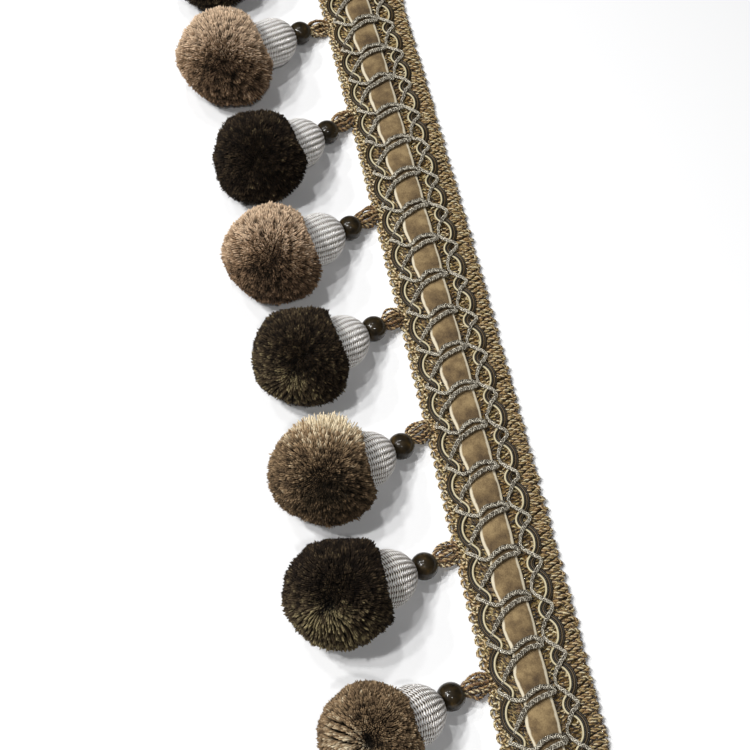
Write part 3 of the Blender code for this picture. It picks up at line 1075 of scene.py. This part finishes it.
def loop_bunch(tassel, seed):
    """The twisted yarns of one loop, as one shape."""
    rng = np.random.default_rng(seed)
    way = unit(tassel["bead"] - tassel["root"])
    across = unit(np.cross(way, UP))
    start = tassel["root"] + INTO_EDGE
    end = tassel["bead"] - way * (BEAD_RADIUS - INTO_BORE)
    shapes = []
    for n in range(OUTER_YARNS + INNER_YARNS):
        outer = n < OUTER_YARNS
        angle = math.tau * (n + 0.25) / (OUTER_YARNS if outer else INNER_YARNS)
        share_out = 1.0 if outer else INNER_SHARE
        sideways, rise = share_out * math.cos(angle), share_out * math.sin(angle)
        knots = []
        for share, wide, high in LOOP_STATIONS:
            spread = (1 - share) * np.array((1.0, 0, 0)) + share * -across
            middle = start + (end - start) * share
            knots.append(middle + unit(spread) * wide * sideways + UP * high * rise)
        knots = np.array(knots)
        knots[1:-1] += rng.normal(0, LOOP_WANDER, (len(knots) - 2, 3))
        knots[:, 2] = np.maximum(knots[:, 2], 2 * LOOP_PLY)
        path = smooth_path(knots, LOOP_STEP)[None]
        plies = twisted(path, 2, spread=0.33, pitch=2.0, phase=rng.uniform(0, math.tau))
        tone = (rng.choice([0.1, 0.3]), rng.choice([0.5, 0.7, 0.95]))
        shapes.append(strands(plies, LOOP_PLY, 3, tone))
    return join(shapes)


for k, tassel in enumerate(tassels):
    add_piece(f"yarn_loop_{k}", loop_bunch(tassel, 100 + k), loop_yarn, f"loop_{k}")

# %% [markdown]
# ## The pompoms
# A pompom is a few thousand ends of wool tied at the middle and clipped to a ball.
# Hair particles would make it, but they don't export, so each end is a slim closed
# strand, widest just short of its cut tip. Ends that stay together make small clumps,
# with dark gaps between. Where a hand has combed the pile over, the strands lean away
# from a crown in locks and show their sides. No two pompoms are clipped quite alike, so
# each has a short plan of its swells and flats, its crown, its painted light and shade,
# and any longer part.

# %% Strand directions
STRANDS = 11000
CLUMPS = 1700


def spread_evenly(count, rng):
    """Directions spread evenly over a ball, a little disordered."""
    n = np.arange(count) + 0.5
    height = 1 - 2 * n / count
    turn = n * math.pi * (3 - math.sqrt(5))
    flat = np.sqrt(1 - height**2)
    even = np.column_stack([flat * np.cos(turn), flat * np.sin(turn), height])
    return unit(even + rng.normal(0, 0.35 / math.sqrt(count), even.shape))


def clump_of(directions, middles):
    """Which clump middle lies nearest to each direction."""
    return np.concatenate([np.argmax(some @ middles.T, axis=1) for some in np.array_split(directions, 24)])


def lumps(directions, rng, waves=3.5):
    """Swells over the ball, between about -1 and 1, with so many waves to the radius."""
    total = np.zeros(len(directions))
    for _ in range(8):
        wave = unit(rng.normal(0, 1.0, 3)) * waves * rng.uniform(0.7, 1.3)
        total += np.cos(directions @ wave + rng.uniform(0, math.tau))
    return total / 4


def bell(directions, middle, width):
    """One at a middle direction, falling off over an angle in degrees."""
    angle = np.degrees(np.arccos(np.clip(directions @ middle, -1, 1)))
    return np.exp(-((angle / width) ** 2))


# %% How each pompom was clipped and combed
FACE = unit(np.array((0.525, -0.102, 0.845)))
ACROSS_FACE = unit(np.cross(UP, FACE))
UP_FACE = np.cross(FACE, ACROSS_FACE)


def on_rim(turn):
    """The direction at an angle in degrees round the face, from its right side."""
    return swing(math.radians(turn), ACROSS_FACE, UP_FACE)


def on_face(right, up):
    """The direction of a spot on the face, off its middle by shares of the radius."""
    return unit(FACE + right * ACROSS_FACE + up * UP_FACE)


PLAIN = {
    "size": 1.0,
    "tone": 0.4,
    "fade": 0.0,  # painted light: how much paler towards the top; below zero, darker
    "swells": (),  # angle round the face, gain, width
    "crown": None,  # place, angle it is combed towards, strength
    "locks": (40, 0.3),  # how many lie round the crown, how closely they gather
    "sheen": 0.3,  # how much paler where the strands lie on their sides
    "end_on_shade": None,  # painted shade where the pile is seen end on: place, depth, width
    "tuft": None,  # angle round the face, gain, width
}
CLIPPING = {
    1: {
        "swells": ((222, -0.09, 26), (140, -0.04, 24), (180, 0.03, 20), (-46, 0.15, 26)),
        "crown": (on_face(0.05, -0.2), 95, 0.35),
        "end_on_shade": (on_face(0.0, -0.48), 0.34, 32),
        "tone": 0.8,
        "fade": 0.48,
    },
    2: {"swells": ((132, 0.07, 20), (232, 0.09, 24), (20, -0.05, 24)), "tone": 0.3},
    3: {
        "swells": ((222, -0.09, 28), (135, -0.04, 24), (80, 0.01, 30), (-42, 0.1, 26)),
        "crown": (on_face(0.05, -0.2), 95, 0.35),
        "end_on_shade": (on_face(0.0, -0.45), 0.34, 32),
        "tone": 0.68,
        "fade": 0.38,
    },
    4: {
        "swells": ((126, 0.08, 18), (212, 0.05, 16), (60, 0.08, 16), (-45, 0.1, 22), (252, -0.05, 18)),
        "crown": (on_face(-0.1, -0.35), 240, 0.7),
        "locks": (36, 0.5),
        "sheen": 0.5,
    },
    5: {
        "swells": ((255, -0.13, 16), (235, -0.04, 20), (80, -0.09, 30), (180, 0.02, 30), (-32, 0.06, 20)),
        "crown": (on_face(0.15, -0.1), 95, 0.4),
        "end_on_shade": (on_face(0.2, -0.22), 0.4, 36),
        "tone": 0.38,
        "fade": 0.12,
        "tuft": (80, 0.3, 38),
    },
    6: {
        "swells": ((60, 0.08, 15), (-22, 0.1, 15), (92, -0.04, 20), (185, 0.02, 30)),
        "crown": (on_face(-0.22, -0.08), 262, 1.0),
        "locks": (44, 0.55),
        "sheen": 0.45,
        "fade": -0.17,
    },
    7: {
        "size": 0.94,
        "tone": 0.42,
        "swells": ((58, -0.07, 28),),
        "crown": (on_face(-0.02, 0.08), 222, 0.9),
        "locks": (22, 0.4),
        "sheen": 0.4,
    },
}


# %% The comb
COMB_WIDTH = 1.1
COMB_BACK = 0.35  # how far round from the combed side the lay still reaches
LOCK_WAVES = 6.0
LOCK_WAVER = 1.2
DIP_WIDTH = 0.2
DIP_DEPTH = 0.14


def combed(out, crown, locks, rng):
    """Lay the pile away from a crown; gives tip and root directions, lay, painted shade between locks and
    the dip.
    """
    middle, towards, strength = crown
    first = unit(np.cross(middle, UP_FACE))
    second = np.cross(middle, first)
    angle = np.arccos(np.clip(out @ middle, -1, 1))
    turn = np.arctan2(out @ second, out @ first)
    away = swing(turn[:, None], first, second)
    side = np.clip(away @ on_rim(towards) + COMB_BACK, 0, 1)
    lay = strength * side * np.exp(-((angle / COMB_WIDTH) ** 2))
    count, gather = locks
    wavy = turn + LOCK_WAVER * lumps(out, rng, LOCK_WAVES) / count**0.5
    phase = np.round(wavy * count / math.tau) - wavy * count / math.tau
    pull = np.minimum(1, 1.3 * lay) * phase * math.tau / count
    kept = angle * (1 - 0.8 * lay)
    ways = []
    for tilt, share in ((angle, gather), (kept, min(1, 2 * gather))):
        around = swing((turn + share * pull)[:, None], first, second)
        ways.append(swing(tilt[:, None], middle, around))
    dip = DIP_DEPTH * strength * np.exp(-((angle / DIP_WIDTH) ** 2))
    # painted shade: strands darker at the edges of each lock, paler in its middle
    return *ways, lay, lay * (0.5 - 2 * np.abs(phase)), dip


# %% One pompom
CAP_SIDE = 0.84
COVERED_RADIUS = 9.4
CORE_SHARE = 0.6
ROOT_SHARE = 0.58
ROOT_FLOOR = 1.2
TIP_FLOOR = 0.15
UNSEEN_BELOW = -0.45
CLUMP_PULL = 0.14
ROOT_SCATTER = 0.04
ROOT_LAID = 0.16  # how much further out the combed strands leave the core
TUFT_WAVES = 14.0
CURL_WAVES = 36.0
SWELL_SIZE = 0.02
TUFT_SIZE = 0.014
CURL_SIZE = 0.016
STRAND_LENGTHS = 0.018
CLUMP_LENGTHS = 0.007
STRAND_TONES = 0.12
CLUMP_TONES = 0.08
TUFT_LIGHT_AND_SHADE = 0.08
CURL_LIGHT_AND_SHADE = 0.12
CURL_WELL_SHADE = 0.07
LOCK_SHADE_TONE = 0.35
LONG_TUFT_LIGHT = 0.95


def pompom(tassel, seed, clipping):
    """The strands of one pompom, and the core they grow from."""
    rng = np.random.default_rng(seed)
    centre, radius, axis = tassel["centre"], tassel["radius"], tassel["axis"]
    plan = {**PLAIN, **clipping}
    out = spread_evenly(STRANDS, rng)
    under_cap = out @ axis > math.cos(math.asin(COVERED_RADIUS / radius))
    thinned = (out[:, 2] < UNSEEN_BELOW) & (np.arange(len(out)) % 2 == 0)
    out = out[~under_cap & ~thinned]
    tip_way, root_way, lay, lock_shade, dip = out, out, np.zeros(len(out)), 0.0, 0.0
    if plan["crown"]:
        tip_way, root_way, lay, lock_shade, dip = combed(out, plan["crown"], plan["locks"], rng)
    middles = spread_evenly(CLUMPS, rng)
    clump = clump_of(out, middles)
    tip_way = unit(tip_way + CLUMP_PULL * (middles[clump] - out))
    tufted, curled = [lumps(out, rng, waves) for waves in (TUFT_WAVES, CURL_WAVES)]
    clip = 1 + SWELL_SIZE * lumps(out, rng) + TUFT_SIZE * tufted + CURL_SIZE * curled - dip
    clip = clip + sum(gain * bell(out, on_rim(turn), width) for turn, gain, width in plan["swells"])
    ragged = 1 + rng.normal(0, STRAND_LENGTHS, len(out)) + rng.normal(0, CLUMP_LENGTHS, CLUMPS)[clump]
    # painted shade darkens the strands at the edges of each lock
    tone = plan["tone"] + rng.normal(0, STRAND_TONES, len(out)) + rng.normal(0, CLUMP_TONES, CLUMPS)[clump]
    # painted light: paler towards the top, as light falls from above
    tone = tone + plan["sheen"] * lay + LOCK_SHADE_TONE * lock_shade + plan["fade"] * (out @ UP_FACE)
    # painted light and shade: strands paler where the clipped surface swells, darker where it sinks
    tone = tone + TUFT_LIGHT_AND_SHADE * tufted + CURL_LIGHT_AND_SHADE * curled
    # painted shade where the pile is seen end on
    if plan["end_on_shade"]:
        place, depth, width = plan["end_on_shade"]
        tone = tone - depth * bell(out, place, width)
    if plan["tuft"]:
        turn, gain, width = plan["tuft"]
        tuft = bell(out, on_rim(turn), width)
        ragged = ragged + gain * tuft * rng.uniform(0, 1, len(out)) ** 2
        # painted light: the long strands of the tuft are paler where they catch the light
        tone = tone + LONG_TUFT_LIGHT * tuft**1.5
    full = radius * plan["size"]
    cut_face = unit(axis - (axis @ FACE) * FACE)
    from_cap = (CAP_SIDE + SWELL_SIZE * tufted) / np.maximum(tip_way @ cut_face, 0.1)
    tips = centre + tip_way * (full * ragged * np.minimum(clip, from_cap))[:, None]
    tips[:, 2] = np.maximum(tips[:, 2], TIP_FLOOR + rng.uniform(0, 0.3, len(out)))
    rooted = unit(root_way + rng.normal(0, ROOT_SCATTER, out.shape))
    roots = centre + rooted * (full * (ROOT_SHARE + ROOT_LAID * lay))[:, None]
    roots[:, 2] = np.maximum(roots[:, 2], ROOT_FLOOR)
    # painted shade: sunk curls reach less far and so are darker
    reach = ragged - dip + CURL_WELL_SHADE * np.minimum(curled, 0)
    return join([spindles(roots, tips, np.clip(tone, 0, 1), reach, rng), core(centre, CORE_SHARE * full)])


# %% Its strands and core
WIDEST_AT = 0.94
STRAND_RADIUS = 0.25
REACH_BELOW_TIP = (0.4, 0.03, 0.03, 0.03, 0.0)  # painted shade deepens towards the root: at the root, the three corners and the tip
POLE_GAP = 0.15
CORE_RINGS = 12
CORE_SIDES = 20


def spindles(roots, tips, tone, reach, rng):
    """Slim closed strands of three sides, widest a little short of the tip."""
    way = unit(tips - roots)
    side = unit(np.cross(way, rng.normal(0, 1, way.shape)))
    other = np.cross(way, side)
    ring = swing((math.tau * np.arange(3) / 3)[:, None], side[:, None], other[:, None])
    widest = (roots + (tips - roots) * WIDEST_AT)[:, None] + STRAND_RADIUS * ring
    points = np.concatenate([roots[:, None], widest, tips[:, None]], axis=1)
    first = 5 * np.arange(len(roots))[:, None]
    faces = [first + (0, 1 + (i + 1) % 3, 1 + i) for i in range(3)]
    faces += [first + (4, 1 + i, 1 + (i + 1) % 3) for i in range(3)]
    reach = (reach[:, None] - REACH_BELOW_TIP).ravel()
    return shape(points.reshape(-1, 3), faces, tone=np.repeat(tone, 5), reach=reach)


def core(centre, radius):
    """The middle of a pompom, coloured with the pile's painted shade, seen only in its gaps."""
    angles = np.linspace(POLE_GAP, math.pi - POLE_GAP, CORE_RINGS)
    profile = [(-radius * math.cos(a), radius * math.sin(a)) for a in angles]
    ball = turned(centre, np.array((1.0, 0.0, 0.0)), profile, CORE_SIDES)
    count = len(ball["points"])
    return shape(ball["points"], ball["faces"], tone=np.zeros(count), reach=np.zeros(count))


# %% Every pompom
DRAB_LOT = (5, 7)
for k, tassel in enumerate(tassels):
    shade = "dark" if k % 2 == 0 else "light"
    wool = dark_wool if shade == "dark" else drab_wool if k in DRAB_LOT else light_wool
    made = pompom(tassel, 200 + k, CLIPPING.get(k, {}))
    add_piece(f"cut_pompom_{k}", made, wool, f"pompom_{k}")
print("triangles in all", sum(triangles_built.values()))

# %% [markdown]

# %% [markdown]
# ## Floor, light and camera
# The trim lies on a plain white surface under seven small lamps, one at its near end and
# six round the far and the pompom side. Each throws its own faint shadow, and these
# overlap to a dark one at the foot of each pompom. A pale world fills them.

# %% Floor
FLOOR_HALF = 1500.0 * MM


def plain_floor():
    """A large matt white surface just under the trim."""
    mesh = bpy.data.meshes.new("floor")
    corners = [(x * FLOOR_HALF, y * FLOOR_HALF, 0.0) for x, y in ((-1, -1), (1, -1), (1, 1), (-1, 1))]
    mesh.from_pydata(corners, [], [(0, 1, 2, 3)])
    finish, _, surface, _ = new_finish("matt white paper")
    feed(surface, {"Base Color": linear("#eeeeee"), "Roughness": 0.9})
    mesh.materials.append(finish)
    return put("floor", mesh)


plain_floor()

# %% Lamps
LAMPS = (
    # name, azimuth the light comes from, elevation, watts
    ("near lamp", 0, 60, 2.8),
    ("far high lamp", 200, 70, 2.8),
    ("far lamp", 225, 60, 1.4),
    ("left low lamp", 245, 50, 3.8),
    ("left lamp", 265, 60, 3.3),
    ("main lamp", 285, 60, 5.0),
    ("main high lamp", 285, 70, 1.8),
)
LAMP_SIZE = 0.06
LAMP_DISTANCE = 1.2
AIM = Vector((0.08, -0.02, 0.0))


def place_lamp(name, azimuth, elevation, watts):
    """A small square lamp that looks at the trim."""
    light = bpy.data.lights.new(name, "AREA")
    light.energy = watts
    light.size = LAMP_SIZE
    lamp = put(name, light)
    turn, rise = math.radians(azimuth), math.radians(elevation)
    way = Vector((math.cos(rise) * math.cos(turn), math.cos(rise) * math.sin(turn), math.sin(rise)))
    lamp.location = AIM + way * LAMP_DISTANCE
    lamp.rotation_euler = (-way).to_track_quat("-Z", "Y").to_euler()


for row in LAMPS:
    place_lamp(*row)

world = bpy.data.worlds.new("soft room light")
world.use_nodes = True
feed(world.node_tree.nodes["Background"], {"Color": linear("#f4f6ff"), "Strength": 0.06})
bpy.context.scene.world = world
bpy.context.scene.view_settings.view_transform = "Standard"

# %% Camera
CAMERA_PLACE = Vector((0.33736, -0.08622, 0.46785))
CAMERA_PITCH = math.radians(57.65)
CAMERA_YAW = math.radians(-11.02)
CAMERA_LENS = 76.8
lens = bpy.data.cameras.new("camera")
lens.lens = CAMERA_LENS
lens.sensor_width = 36.0
camera = put("camera", lens)
camera.location = CAMERA_PLACE
look = Vector((
    -math.cos(CAMERA_PITCH) * math.cos(CAMERA_YAW),
    -math.cos(CAMERA_PITCH) * math.sin(CAMERA_YAW),
    -math.sin(CAMERA_PITCH),
))
camera.rotation_euler = look.to_track_quat("-Z", "Y").to_euler()
bpy.context.scene.camera = camera

# %% Finish
bpy.context.view_layer.update()
